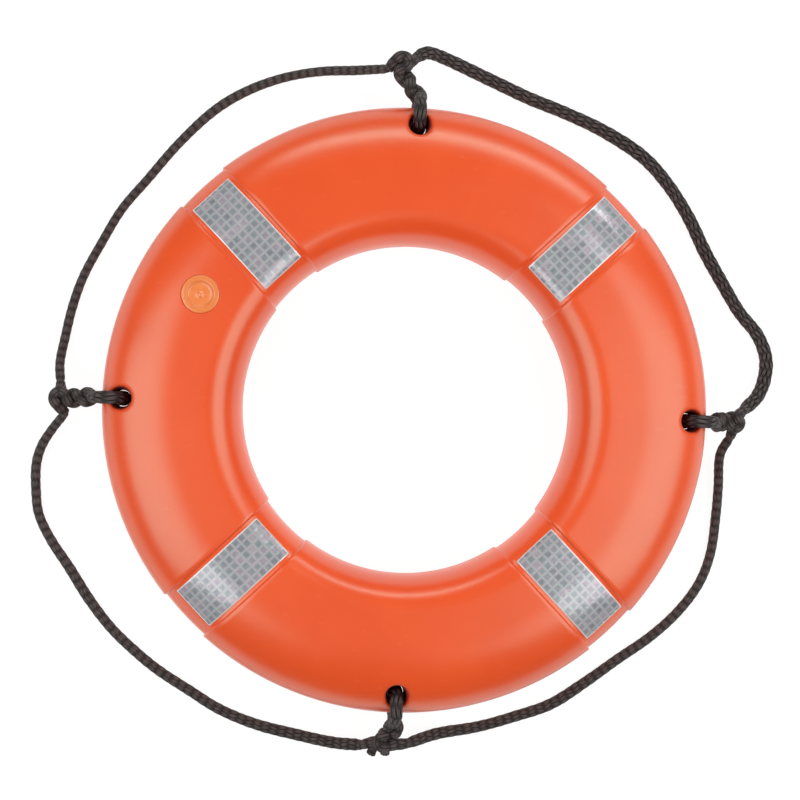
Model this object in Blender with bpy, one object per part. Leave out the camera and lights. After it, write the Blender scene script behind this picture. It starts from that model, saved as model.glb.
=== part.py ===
# Ring lifebuoy: a foam-filled plastic ring with reflective tape and a knotted grab line.
# Metres, +Z up. The ring lies flat: its axis is Z and its underside is at z = 0.
import math

import bmesh
import bpy
from mathutils import Matrix, Vector

# Ring
OUTER_RADIUS = 0.305
INNER_RADIUS = 0.165
THICKNESS = 0.100
FLAT_INNER = 0.201  # the flat land on the upper face and the underside
FLAT_OUTER = 0.233
SHOULDER_FULLNESS = 2.2  # exponent of the rounded shoulders: 2 is an ellipse
WALL = 0.003
RING_STEPS = 72
DRUM_STEPS = 32
SHOULDER_STEPS = 6
LINING_STEPS = 36  # the unseen inside of the shell is coarser
LINING_SHOULDER_STEPS = 4

# Bands that the tape lies in
TAPE_ANGLES = (45, 135, 225, 315)
BAND_WIDTH = 0.056
BAND_DEPTH = 0.0022
TAPE_SLICES = (-0.024, -0.008, 0.008, 0.024)  # across the tape, from one edge to the other
TAPE_THICKNESS = 0.0004
TAPE_INNER = 0.183
TAPE_OUTER = 0.2895

# Rope holes, moulded through the ring near its edge and narrowing towards the middle of its thickness
HOLE_RADIUS = 0.0115
HOLE_WAIST = 0.0092
HOLE_FULL_HEIGHT = 0.085  # where the hole reaches its full radius
WAIST_HALF_LENGTH = 0.003
HOLE_CENTRE = 0.2843

# Filling hole and its plug
PLUG_ANGLE = 153.5
PLUG_CENTRE = 0.2344
FILL_RADIUS = 0.013
SEAT_RADIUS = 0.019
SEAT_DEPTH = 0.0022
BOSS_RADIUS = 0.0225
BOSS_DEPTH = 0.006
FLANGE_RADIUS = 0.0186
FLANGE_HEIGHT = 0.0024
DISH_RADIUS = 0.0132
DISH_DEPTH = 0.0012
FLANGE_ROUND = 0.0008
DISH_SLOPE = 0.0006
PIP_RADIUS = 0.0035
PIP_TOP_RADIUS = 0.0021
PIP_HEIGHT = 0.0009
PIP_SHOULDER = 0.0007
PLUG_STEPS = 36

# Grab line
ROPE_RADIUS = 0.0052
ROPE_SPACING = 0.022  # between the points of a tube
ROPE_LAY = 0.0056  # height of the rope's middle where it lies on the surface
KNOT_RADIUS = 0.0068
KNOT_BULGE = 1.15  # how far the knot is stretched outwards and upwards
STEM_RADIUS = 0.0064
STEM_START = (0.3195, 0.050)  # from the axis, and height
LOOP_SPACING = 0.006
STEM_STEPS = 16
CURVE_STEPS = 24  # samples of a smooth curve between two of its given points

GAP = 0.0003  # between touching pieces
CORE_GAP = 0.0005
OVERSHOOT = 0.02  # how far a cutter runs past the surface it cuts

# The free bights of the grab line, clockwise from above, from one knot to the next.
BECKET_ROUTES = {
    "becket_45": [
        (-0.003, 0.360, 0.0320), (0.010, 0.367, 0.0230), (0.034, 0.362, 0.0110),
        (0.075, 0.346, ROPE_LAY), (0.116, 0.329, ROPE_LAY), (0.156, 0.315, ROPE_LAY),
        (0.197, 0.298, ROPE_LAY), (0.238, 0.274, ROPE_LAY), (0.266, 0.246, ROPE_LAY),
        (0.289, 0.213, ROPE_LAY), (0.307, 0.179, ROPE_LAY), (0.324, 0.151, ROPE_LAY),
        (0.346, 0.117, ROPE_LAY), (0.366, 0.094, ROPE_LAY), (0.376, 0.071, 0.0060),
        (0.375, 0.049, 0.0098), (0.366, 0.029, 0.0184), (0.349, 0.014, 0.0320),
    ],
    "becket_315": [
        (0.336, -0.014, 0.0320), (0.329, -0.034, 0.0190), (0.331, -0.067, 0.0079),
        (0.330, -0.098, ROPE_LAY), (0.326, -0.136, ROPE_LAY), (0.315, -0.168, ROPE_LAY),
        (0.294, -0.198, ROPE_LAY), (0.266, -0.225, ROPE_LAY), (0.232, -0.250, ROPE_LAY),
        (0.199, -0.275, ROPE_LAY), (0.165, -0.298, ROPE_LAY), (0.128, -0.312, ROPE_LAY),
        (0.089, -0.324, ROPE_LAY), (0.048, -0.331, 0.0130), (0.016, -0.339, 0.0320),
    ],
    "becket_225": [
        (-0.031, -0.342, 0.0320), (-0.060, -0.343, 0.0155), (-0.100, -0.337, 0.0060),
        (-0.140, -0.328, ROPE_LAY), (-0.177, -0.314, ROPE_LAY), (-0.208, -0.296, ROPE_LAY),
        (-0.241, -0.276, ROPE_LAY), (-0.267, -0.256, ROPE_LAY), (-0.291, -0.234, ROPE_LAY),
        (-0.314, -0.206, ROPE_LAY), (-0.335, -0.175, ROPE_LAY), (-0.355, -0.147, ROPE_LAY),
        (-0.368, -0.122, ROPE_LAY), (-0.372, -0.099, ROPE_LAY), (-0.373, -0.072, 0.0061),
        (-0.368, -0.052, 0.0098), (-0.357, -0.034, 0.0181), (-0.343, -0.017, 0.0320),
    ],
    "becket_135": [
        (-0.349, 0.013, 0.0320), (-0.352, 0.034, 0.0180), (-0.349, 0.060, 0.0083),
        (-0.343, 0.092, ROPE_LAY), (-0.333, 0.124, ROPE_LAY), (-0.316, 0.159, ROPE_LAY),
        (-0.297, 0.194, ROPE_LAY), (-0.272, 0.226, ROPE_LAY), (-0.242, 0.264, ROPE_LAY),
        (-0.209, 0.298, ROPE_LAY), (-0.177, 0.320, ROPE_LAY), (-0.140, 0.336, ROPE_LAY),
        (-0.101, 0.345, 0.0058), (-0.063, 0.347, 0.0130), (-0.031, 0.347, 0.0320),
    ],
}

# Each hitch: the angle of its hole, its knot's centre and how wide the knot is along the ring's edge.
HITCHES = {
    "hitch_north": (90, (-0.017, 0.352, 0.036), 1.0),
    "hitch_east": (0, (0.337, 0.001, 0.036), 1.0),
    "hitch_south": (270, (-0.008, -0.336, 0.036), 1.7),
    "hitch_west": (180, (-0.3475, -0.002, 0.036), 1.0),
}

# The loop of the grab line through a rope hole and round the ring's edge: its outer part,
# from the upper lip of the hole to the middle of the edge, as distance from the axis and height.
LOOP_OVER_EDGE = [(0.2893, 0.0785), (0.2932, 0.0835), (0.2990, 0.0850), (0.3055, 0.0790), (0.3120, 0.0670)]
LOOP_IN_HOLE = 0.2876
LOOP_IN_HOLE_TOP = 0.068
LOOP_TIP = 0.3195

# The rope's two cut ends, beside the south knot
ROPE_ENDS = {
    "rope_end_a": ((-0.0175, -0.3430, 0.0330), (-0.0208, -0.3508, 0.0300)),
    "rope_end_b": ((-0.0062, -0.3446, 0.0340), (-0.0066, -0.3502, 0.0320)),
}

# Colour, roughness and metallic of each material
FINISHES = {
    "shell": ((0.86, 0.105, 0.026), 0.38, 0.0),
    "foam": ((0.80, 0.66, 0.40), 0.90, 0.0),
    "plug": ((0.90, 0.32, 0.12), 0.30, 0.0),
    "tape": ((0.52, 0.55, 0.56), 0.30, 0.2),
    "rope": ((0.030, 0.026, 0.027), 0.85, 0.0),
}


def clear_scene():
    for thing in list(bpy.data.objects):
        bpy.data.objects.remove(thing, do_unlink=True)


def make_materials():
    materials = {}
    for name, (colour, roughness, metallic) in FINISHES.items():
        material = bpy.data.materials.new(name)
        material.use_nodes = True
        shader = material.node_tree.nodes["Principled BSDF"]
        shader.inputs["Base Color"].default_value = (*colour, 1.0)
        shader.inputs["Roughness"].default_value = roughness
        shader.inputs["Metallic"].default_value = metallic
        material.diffuse_color = (*colour, 1.0)
        materials[name] = material
    return materials


def add_object(name, data, material=None):
    thing = bpy.data.objects.new(name, data)
    bpy.context.scene.collection.objects.link(thing)
    if material:
        data.materials.append(material)
    return thing


def mesh_from(name, bm, smooth=True):
    bmesh.ops.recalc_face_normals(bm, faces=bm.faces)
    for face in bm.faces:
        face.smooth = smooth
    mesh = bpy.data.meshes.new(name)
    bm.to_mesh(mesh)
    bm.free()
    return mesh


def helper(name, mesh):
    """A cutter, or a shape that is joined on: never a piece by itself."""
    thing = add_object(name, mesh)
    thing.hide_render = True
    thing.display_type = "WIRE"
    return thing


def boolean(target, other, operation):
    modifier = target.modifiers.new(other.name, "BOOLEAN")
    modifier.operation = operation
    modifier.solver = "EXACT"
    modifier.object = other


def shoulder_height(radius, inset):
    """Height of the upper face above the ring's middle plane, for a section drawn in by inset."""
    if radius < FLAT_INNER:
        share = (FLAT_INNER - radius) / (FLAT_INNER - INNER_RADIUS - inset)
    else:
        share = (radius - FLAT_OUTER) / (OUTER_RADIUS - inset - FLAT_OUTER)
    share = min(max(share, 0.0), 1.0)
    rise = (1 - share**SHOULDER_FULLNESS) ** (1 / SHOULDER_FULLNESS)
    return (THICKNESS / 2 - inset) * rise


def section(inset, steps):
    """The ring's closed cross-section as (radius, height), drawn in by inset, all the way round."""
    upper = []
    for step in range(steps + 1):
        swing = math.cos(math.pi / 2 * step / steps) ** (2 / SHOULDER_FULLNESS)
        upper.append(OUTER_RADIUS - inset - (OUTER_RADIUS - inset - FLAT_OUTER) * (1 - swing))
    for step in range(steps + 1):
        swing = math.sin(math.pi / 2 * step / steps) ** (2 / SHOULDER_FULLNESS)
        upper.append(FLAT_INNER - (FLAT_INNER - INNER_RADIUS - inset) * swing)
    middle = THICKNESS / 2
    points = [(radius, middle + shoulder_height(radius, inset)) for radius in upper]
    points += [(radius, middle - shoulder_height(radius, inset)) for radius in reversed(upper[1:-1])]
    return points


def bridge_closed(bm, loops):
    """Quads between neighbouring vertex loops; the last loop joins the first again."""
    for loop, following in zip(loops, loops[1:] + loops[:1]):
        for i, vertex in enumerate(loop):
            j = (i + 1) % len(loop)
            bm.faces.new((vertex, loop[j], following[j], following[i]))


def ring_mesh(name, inset, ring_steps, shoulder_steps):
    bm = bmesh.new()
    outline = section(inset, shoulder_steps)
    loops = []
    for step in range(ring_steps):
        angle = 2 * math.pi * step / ring_steps
        cosine, sine = math.cos(angle), math.sin(angle)
        loops.append([bm.verts.new((r * cosine, r * sine, z)) for r, z in outline])
    bridge_closed(bm, loops)
    return mesh_from(name, bm)


def turned_mesh(name, outline, steps):
    """A solid turned about Z from an outline of (radius, height) that starts and ends on the axis."""
    bm = bmesh.new()
    foot = bm.verts.new((0, 0, outline[0][1]))
    crown = bm.verts.new((0, 0, outline[-1][1]))
    rings = []
    for step in range(steps):
        angle = 2 * math.pi * step / steps
        rings.append([bm.verts.new((r * math.cos(angle), r * math.sin(angle), z)) for r, z in outline[1:-1]])
    for ring, following in zip(rings, rings[1:] + rings[:1]):
        bm.faces.new((foot, following[0], ring[0]))
        bm.faces.new((crown, ring[-1], following[-1]))
        for i in range(len(ring) - 1):
            bm.faces.new((ring[i], following[i], following[i + 1], ring[i + 1]))
    return mesh_from(name, bm)


def drum_mesh(name, radius, low, high, steps):
    return turned_mesh(name, [(0, low), (radius, low), (radius, high), (0, high)], steps)


def slice_verts(bm, outline, offset):
    """Vertices where an outline turned about Z meets the plane at this offset from the axis."""
    return [bm.verts.new((math.sqrt(r**2 - offset**2), offset, z)) for r, z in outline]


def band_cutter(name, inset, half_width, angle, steps):
    """What a band removes: a sleeve between two parallel planes, whose inside is the section at its floor."""
    floor = section(inset, steps)
    outside = section(-OVERSHOOT, steps)
    offsets = [-half_width, *TAPE_SLICES, half_width]
    bm = bmesh.new()
    rims = [slice_verts(bm, floor, offset) for offset in offsets]
    rims += [slice_verts(bm, outside, offset) for offset in reversed(offsets)]
    bridge_closed(bm, rims)
    cutter = helper(name, mesh_from(name, bm))
    cutter.rotation_euler.z = math.radians(angle)
    return cutter


def placed_cutter(name, mesh, distance, angle):
    cutter = helper(name, mesh)
    turn = math.radians(angle)
    cutter.location = (distance * math.cos(turn), distance * math.sin(turn), 0)
    return cutter


def placed_drum(name, radius, low, high, distance, angle):
    return placed_cutter(name, drum_mesh(name, radius, low, high, DRUM_STEPS), distance, angle)


def rope_hole_mesh(name, inset):
    """What a rope hole removes: two cones that meet in a narrow waist."""
    half = [(0, -OVERSHOOT), (HOLE_RADIUS + inset, -OVERSHOOT)]
    half.append((HOLE_RADIUS + inset, THICKNESS - HOLE_FULL_HEIGHT))
    half.append((HOLE_WAIST + inset, THICKNESS / 2 - WAIST_HALF_LENGTH))
    outline = half + [(radius, THICKNESS - height) for radius, height in reversed(half)]
    return turned_mesh(name, outline, DRUM_STEPS)


def ring_body(name, inset, ring_steps, shoulder_steps, material=None):
    """The ring drawn in by inset all over, with its bands and rope holes."""
    mesh = ring_mesh(name, inset, ring_steps, shoulder_steps)
    body = add_object(name, mesh, material)
    for angle in TAPE_ANGLES:
        cutter = band_cutter(
            f"{name}_band_{angle}", inset + BAND_DEPTH, BAND_WIDTH / 2 + inset, angle, shoulder_steps
        )
        boolean(body, cutter, "DIFFERENCE")
    for angle, _, _ in HITCHES.values():
        cutter_name = f"{name}_hole_{angle}"
        hole = placed_cutter(cutter_name, rope_hole_mesh(cutter_name, inset), HOLE_CENTRE, angle)
        boolean(body, hole, "DIFFERENCE")
    return body


def cut_boss(body, depth):
    """Leaves material under the plug's seat."""
    boss = placed_drum(
        f"{body.name}_boss", BOSS_RADIUS, THICKNESS - depth, THICKNESS + OVERSHOOT, PLUG_CENTRE, PLUG_ANGLE
    )
    boolean(body, boss, "DIFFERENCE")


def make_shell(materials):
    shell = ring_body("shell", 0, RING_STEPS, SHOULDER_STEPS, materials["shell"])
    lining = ring_body("lining", WALL, LINING_STEPS, LINING_SHOULDER_STEPS)
    cut_boss(lining, BOSS_DEPTH)
    lining.hide_render = True
    lining.display_type = "WIRE"
    boolean(shell, lining, "DIFFERENCE")
    seat = placed_drum(
        "plug_seat", SEAT_RADIUS, THICKNESS - SEAT_DEPTH, THICKNESS + OVERSHOOT, PLUG_CENTRE, PLUG_ANGLE
    )
    boolean(shell, seat, "DIFFERENCE")
    fill_hole = placed_drum(
        "fill_hole", FILL_RADIUS, THICKNESS - 2 * BOSS_DEPTH, THICKNESS + OVERSHOOT, PLUG_CENTRE, PLUG_ANGLE
    )
    boolean(shell, fill_hole, "DIFFERENCE")


def make_foam_core(materials):
    core = ring_body("foam_core", WALL + CORE_GAP, LINING_STEPS, LINING_SHOULDER_STEPS, materials["foam"])
    cut_boss(core, BOSS_DEPTH + CORE_GAP)


def make_plug(materials):
    """A flanged cap with a shallow dish and a raised pip in its middle."""
    base = -SEAT_DEPTH + GAP
    top = base + FLANGE_HEIGHT
    dish = top - DISH_DEPTH
    stem = FILL_RADIUS - 2 * GAP
    outline = [
        (0, -BOSS_DEPTH + GAP),
        (stem, -BOSS_DEPTH + GAP),
        (stem, base),
        (FLANGE_RADIUS, base),
        (FLANGE_RADIUS, top - FLANGE_ROUND),
        (FLANGE_RADIUS - FLANGE_ROUND, top),
        (DISH_RADIUS + DISH_SLOPE, top),
        (DISH_RADIUS, dish),
        (PIP_RADIUS, dish),
        (PIP_TOP_RADIUS, dish + PIP_SHOULDER),
        (0, dish + PIP_HEIGHT),
    ]
    plug = add_object("fill_plug", turned_mesh("fill_plug", outline, PLUG_STEPS), materials["plug"])
    turn = math.radians(PLUG_ANGLE)
    plug.location = (PLUG_CENTRE * math.cos(turn), PLUG_CENTRE * math.sin(turn), THICKNESS)


def band_floor():
    """The upper half of the band's floor under the tape, as (radius, height above the middle)."""
    middle = THICKNESS / 2
    line = [(r, z - middle) for r, z in section(BAND_DEPTH, SHOULDER_STEPS)[: 2 * SHOULDER_STEPS + 2]]
    line.reverse()
    clipped = []
    for (r1, z1), (r2, z2) in zip(line, line[1:]):
        for limit in (TAPE_INNER, TAPE_OUTER):
            if r1 < limit < r2:
                clipped.append((limit, z1 + (z2 - z1) * (limit - r1) / (r2 - r1)))
        if TAPE_INNER < r2 < TAPE_OUTER:
            clipped.append((r2, z2))
    return clipped


def raised(line, distance):
    """The line moved up off the surface by distance, square to its own run."""
    points = []
    for i, (r, z) in enumerate(line):
        before = Vector(line[max(i - 1, 0)])
        here = Vector((r, z))
        after = Vector(line[min(i + 1, len(line) - 1)])
        normals = [Vector((-d.y, d.x)).normalized() for d in (here - before, after - here) if d.length > 0]
        mean = sum(normals, Vector((0, 0))).normalized()
        points.append(here + mean * distance / mean.dot(normals[0]))
    return points


def tape_mesh(name, upright):
    """A strip that follows the floor of a band, from the inner shoulder over the land to the outer one."""
    middle = THICKNESS / 2
    floor = band_floor()
    count = len(floor)
    outline = raised(floor, GAP) + raised(floor, GAP + TAPE_THICKNESS)[::-1]
    outline = [(r, middle + upright * z) for r, z in outline]
    bm = bmesh.new()
    rims = [slice_verts(bm, outline, offset) for offset in TAPE_SLICES]
    for rim, following in zip(rims, rims[1:]):
        for i in range(2 * count):
            j = (i + 1) % (2 * count)
            bm.faces.new((rim[i], rim[j], following[j], following[i]))
    for rim in (rims[0], rims[-1]):
        for i in range(count - 1):
            bm.faces.new((rim[i], rim[i + 1], rim[2 * count - 2 - i], rim[2 * count - 1 - i]))
    return mesh_from(name, bm, smooth=False)


def make_tapes(materials):
    for face, upright in (("top", 1), ("base", -1)):
        for angle in TAPE_ANGLES:
            name = f"tape_{face}_{angle}"
            tape = add_object(name, tape_mesh(name, upright), materials["tape"])
            tape.rotation_euler.z = math.radians(angle)


def smooth_path(points, spacing, closed=False):
    """Points at an even spacing on a smooth curve through the given ones."""
    knots = [Vector(point) for point in points]
    if closed:
        knots = [knots[-1], *knots, knots[0], knots[1]]
    else:
        knots = [2 * knots[0] - knots[1], *knots, 2 * knots[-1] - knots[-2]]
    fine = []
    for a, b, c, d in zip(knots, knots[1:], knots[2:], knots[3:]):
        for step in range(CURVE_STEPS):
            t = step / CURVE_STEPS
            straight = 2 * b + (c - a) * t
            bend = (2 * a - 5 * b + 4 * c - d) * t**2 + (3 * b - a - 3 * c + d) * t**3
            fine.append(0.5 * (straight + bend))
    fine.append(knots[-2])
    lengths = [0.0]
    for here, following in zip(fine, fine[1:]):
        lengths.append(lengths[-1] + (following - here).length)
    count = max(2, round(lengths[-1] / spacing))
    path = []
    i = 0
    for step in range(count + 1):
        target = lengths[-1] * step / count
        while i < len(fine) - 2 and lengths[i + 1] < target:
            i += 1
        share = (target - lengths[i]) / (lengths[i + 1] - lengths[i])
        path.append(fine[i].lerp(fine[i + 1], min(max(share, 0.0), 1.0)))
    return path[:-1] if closed else path


def rope_curve(name, path, closed=False):
    curve = bpy.data.curves.new(name, "CURVE")
    curve.dimensions = "3D"
    curve.bevel_depth = ROPE_RADIUS
    curve.bevel_resolution = 3
    curve.use_fill_caps = True
    spline = curve.splines.new("POLY")
    spline.points.add(len(path) - 1)
    for point, place in zip(spline.points, path):
        point.co = (*place, 1.0)
    spline.use_cyclic_u = closed
    return curve


def make_beckets(materials):
    """Each bight has its origin on its hinge, at the knot where its route starts."""
    for name, route in BECKET_ROUTES.items():
        start = Vector(route[0])
        path = [Vector((p.x, p.y, max(p.z, ROPE_LAY))) - start for p in smooth_path(route, ROPE_SPACING)]
        becket = add_object(name, rope_curve(name, path), materials["rope"])
        becket.location = start


def make_rope_ends(materials):
    for name, (start, tip) in ROPE_ENDS.items():
        path = [Vector(start), Vector(start).lerp(Vector(tip), 0.5), Vector(tip)]
        add_object(name, rope_curve(name, path), materials["rope"])


def hitch_loop(name, angle):
    """The closed loop through the hole, as a mesh, standing in the plane of the ring's axis."""
    half = [(LOOP_IN_HOLE, THICKNESS / 2), (LOOP_IN_HOLE, LOOP_IN_HOLE_TOP), *LOOP_OVER_EDGE]
    outline = half + [(LOOP_TIP, THICKNESS / 2)]
    outline += [(radius, THICKNESS - height) for radius, height in reversed(half[1:])]
    turn = math.radians(angle)
    points = [(radius * math.cos(turn), radius * math.sin(turn), height) for radius, height in outline]
    guide = add_object(f"{name}_guide", rope_curve(name, smooth_path(points, LOOP_SPACING, True), True))
    bpy.context.view_layer.update()
    mesh = bpy.data.meshes.new_from_object(guide)
    bpy.data.objects.remove(guide, do_unlink=True)
    mesh.name = name
    return mesh


def make_hitches(materials):
    """Each hitch is the loop through the hole, the doubled rope beyond the edge, and the knot."""
    for name, (angle, knot, widening) in HITCHES.items():
        hitch = add_object(name, hitch_loop(name, angle), materials["rope"])
        turn = math.radians(angle)
        start = Vector((STEM_START[0] * math.cos(turn), STEM_START[0] * math.sin(turn), STEM_START[1]))
        along = Vector(knot) - start
        stem = helper(f"{name}_stem", drum_mesh(f"{name}_stem", STEM_RADIUS, 0, along.length, STEM_STEPS))
        stem.matrix_world = Matrix.Translation(start) @ along.to_track_quat("Z", "Y").to_matrix().to_4x4()
        bm = bmesh.new()
        bmesh.ops.create_uvsphere(bm, u_segments=16, v_segments=10, radius=KNOT_RADIUS)
        bmesh.ops.scale(bm, verts=bm.verts, vec=(KNOT_BULGE, widening, KNOT_BULGE))
        ball = helper(f"{name}_knot", mesh_from(f"{name}_knot", bm))
        ball.rotation_euler.z = turn
        ball.location = knot
        boolean(hitch, stem, "UNION")
        boolean(hitch, ball, "UNION")


def main():
    clear_scene()
    materials = make_materials()
    make_shell(materials)
    make_foam_core(materials)
    make_plug(materials)
    make_tapes(materials)
    make_hitches(materials)
    make_beckets(materials)
    make_rope_ends(materials)


main()
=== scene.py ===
# Ring lifebuoy: orange moulded shell, reflective tape, filling plug and a braided grab line.
import math

import bmesh
import bpy
import numpy as np
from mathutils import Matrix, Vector, noise


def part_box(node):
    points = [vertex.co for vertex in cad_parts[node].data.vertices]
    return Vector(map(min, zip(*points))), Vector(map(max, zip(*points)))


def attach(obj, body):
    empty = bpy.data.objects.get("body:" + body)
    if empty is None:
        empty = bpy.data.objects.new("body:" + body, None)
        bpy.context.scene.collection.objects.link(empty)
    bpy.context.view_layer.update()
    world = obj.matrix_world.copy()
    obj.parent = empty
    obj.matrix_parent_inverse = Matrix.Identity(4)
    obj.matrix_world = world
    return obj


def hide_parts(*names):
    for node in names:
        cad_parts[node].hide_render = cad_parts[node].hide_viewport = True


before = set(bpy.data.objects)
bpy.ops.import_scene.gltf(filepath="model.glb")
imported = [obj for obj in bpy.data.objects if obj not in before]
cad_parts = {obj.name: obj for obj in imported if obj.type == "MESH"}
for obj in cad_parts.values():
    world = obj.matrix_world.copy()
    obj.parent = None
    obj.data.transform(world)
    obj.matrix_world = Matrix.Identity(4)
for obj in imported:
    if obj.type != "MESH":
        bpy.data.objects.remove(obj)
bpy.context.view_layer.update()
print("frame loaded")

view = {
    "place": (-0.1273, -0.0138, 2.0459),
    "turn": (0.53, -3.48, 2.32),  # degrees
    "focal": 89.1,  # mm
    "sensor": 36.0,  # mm
}


def placeCamera():
    lens = bpy.data.cameras.new("viewCamera")
    lens.lens = view["focal"]
    lens.sensor_width = view["sensor"]
    camera = bpy.data.objects.new("viewCamera", lens)
    camera.location = view["place"]
    camera.rotation_euler = [math.radians(angle) for angle in view["turn"]]
    bpy.context.scene.collection.objects.link(camera)
    bpy.context.scene.camera = camera


placeCamera()
print("camera placed")


def addObject(name, data):
    thing = bpy.data.objects.new(name, data)
    bpy.context.scene.collection.objects.link(thing)
    return thing


def meshFrom(name, points, faces, smooth=True):
    mesh = bpy.data.meshes.new(name)
    mesh.from_pydata([tuple(point) for point in points], [], faces)
    mesh.update()
    mesh.polygons.foreach_set("use_smooth", [smooth] * len(mesh.polygons))
    return mesh


def faceOutwards(mesh):
    solid = bmesh.new()
    solid.from_mesh(mesh)
    bmesh.ops.recalc_face_normals(solid, faces=solid.faces)
    solid.to_mesh(mesh)
    solid.free()


def smoothStep(value):
    value = min(max(value, 0.0), 1.0)
    return value * value * (3 - 2 * value)


def addNode(tree, kind, x, y, **settings):
    node = tree.nodes.new(kind)
    node.location = (x, y)
    for name, value in settings.items():
        setattr(node, name, value)
    return node


def newMaterial(name):
    material = bpy.data.materials.new(name)
    material.use_nodes = True
    tree = material.node_tree
    return material, tree, tree.nodes["Principled BSDF"]


rope = {
    "diameter": 0.0104,
    "lay": 0.140,  # length of one full turn of a strand
    "strandPairs": 8,  # strands each way round
    "strandWidth": 0.0036,
    "strandThickness": 0.0018,
    "crossing": 0.00030,  # how far a strand rises and dips where it crosses the others
    "step": 0.0012,
    "restHeight": 0.0056,
    "drawIn": 0.006,  # length over which an end narrows
    "bightEnd": 0.76,  # how narrow the end of a bight gets
    "strandSides": 8,
    "curveSteps": 24,  # points between two of a route's own
    "swayRate": 14,  # how quickly the braid's width wanders, per metre
    "swayApart": 3.7,  # keeps the pieces from wandering alike
    "swayWide": 0.10,
    "swayHigh": 0.08,
}

# The free bights: their route from knot to knot, how high the braid lies and how wide at either end
bights = {
    "becket_45": {
        "body": "bight_45",
        "wide": (1.42, 1.48),
        "high": 0.86,
        "route": [
            (-0.003, 0.360, 0.0320), (0.010, 0.367, 0.0230), (0.034, 0.362, 0.0110),
            (0.075, 0.346, 0.0056), (0.116, 0.329, 0.0056), (0.156, 0.315, 0.0056),
            (0.197, 0.298, 0.0056), (0.238, 0.274, 0.0056), (0.266, 0.246, 0.0056),
            (0.289, 0.213, 0.0056), (0.307, 0.179, 0.0056), (0.324, 0.151, 0.0056),
            (0.346, 0.117, 0.0056), (0.366, 0.094, 0.0056), (0.376, 0.071, 0.0060),
            (0.375, 0.049, 0.0098), (0.366, 0.029, 0.0184), (0.349, 0.014, 0.0320),
        ],
    },
    "becket_315": {
        "body": "bight_315",
        "wide": (0.92, 1.22),
        "high": 0.92,
        "route": [
            (0.336, -0.014, 0.0320), (0.329, -0.034, 0.0190), (0.331, -0.067, 0.0079),
            (0.330, -0.098, 0.0056), (0.326, -0.136, 0.0056), (0.315, -0.168, 0.0056),
            (0.294, -0.198, 0.0056), (0.266, -0.225, 0.0056), (0.232, -0.250, 0.0056),
            (0.199, -0.275, 0.0056), (0.165, -0.298, 0.0056), (0.128, -0.312, 0.0056),
            (0.089, -0.324, 0.0056), (0.048, -0.331, 0.0130), (0.016, -0.339, 0.0320),
        ],
    },
    "becket_225": {
        "body": "bight_225",
        "wide": (1.24, 0.90),
        "high": 0.92,
        "route": [
            (-0.031, -0.342, 0.0320), (-0.060, -0.343, 0.0155), (-0.100, -0.337, 0.0060),
            (-0.140, -0.328, 0.0056), (-0.177, -0.314, 0.0056), (-0.208, -0.296, 0.0056),
            (-0.241, -0.276, 0.0056), (-0.267, -0.256, 0.0056), (-0.291, -0.234, 0.0056),
            (-0.314, -0.206, 0.0056), (-0.335, -0.175, 0.0056), (-0.355, -0.147, 0.0056),
            (-0.368, -0.122, 0.0056), (-0.372, -0.099, 0.0056), (-0.373, -0.072, 0.0061),
            (-0.368, -0.052, 0.0098), (-0.357, -0.034, 0.0181), (-0.343, -0.017, 0.0320),
        ],
    },
    "becket_135": {
        "body": "bight_135",
        "wide": (0.90, 0.94),
        "high": 0.90,
        "route": [
            (-0.349, 0.013, 0.0320), (-0.352, 0.034, 0.0180), (-0.349, 0.060, 0.0083),
            (-0.343, 0.092, 0.0056), (-0.333, 0.124, 0.0056), (-0.316, 0.159, 0.0056),
            (-0.297, 0.194, 0.0056), (-0.272, 0.226, 0.0056), (-0.242, 0.264, 0.0056),
            (-0.209, 0.298, 0.0056), (-0.177, 0.320, 0.0056), (-0.140, 0.336, 0.0056),
            (-0.101, 0.345, 0.0058), (-0.063, 0.347, 0.0130), (-0.031, 0.347, 0.0320),
        ],
    },
}

# Each hitch: the angle of its hole, its knot's centre and where the rope leaves the knot on either side
hitches = {
    "hitch_north": {
        "angle": 90, "knot": (-0.017, 0.352, 0.036),
        "left": (-0.031, 0.347, 0.032), "right": (-0.003, 0.360, 0.032), "cords": "becket_45",
        "neck": (-0.0100, 0.0, 0.0), "halfTurns": 1.5,
    },
    "hitch_east": {
        "angle": 0, "knot": (0.337, 0.001, 0.036),
        "left": (0.349, 0.014, 0.032), "right": (0.336, -0.014, 0.032), "cords": "becket_315",
        "neck": (-0.0100, 0.0, 0.0), "halfTurns": 1.5,
    },
    "hitch_south": {
        "angle": 270, "knot": (-0.008, -0.336, 0.036),
        "left": (0.016, -0.339, 0.032), "right": (-0.031, -0.342, 0.032), "cords": "becket_225",
        "neck": (-0.0080, 0.0085, 0.0), "halfTurns": 0.7,
    },
    "hitch_west": {
        "angle": 180, "knot": (-0.3475, -0.002, 0.036),
        "left": (-0.343, -0.017, 0.032), "right": (-0.349, 0.013, 0.032), "cords": "becket_135",
        "neck": (-0.0100, 0.0, 0.0), "halfTurns": 1.5,
    },
}

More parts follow.
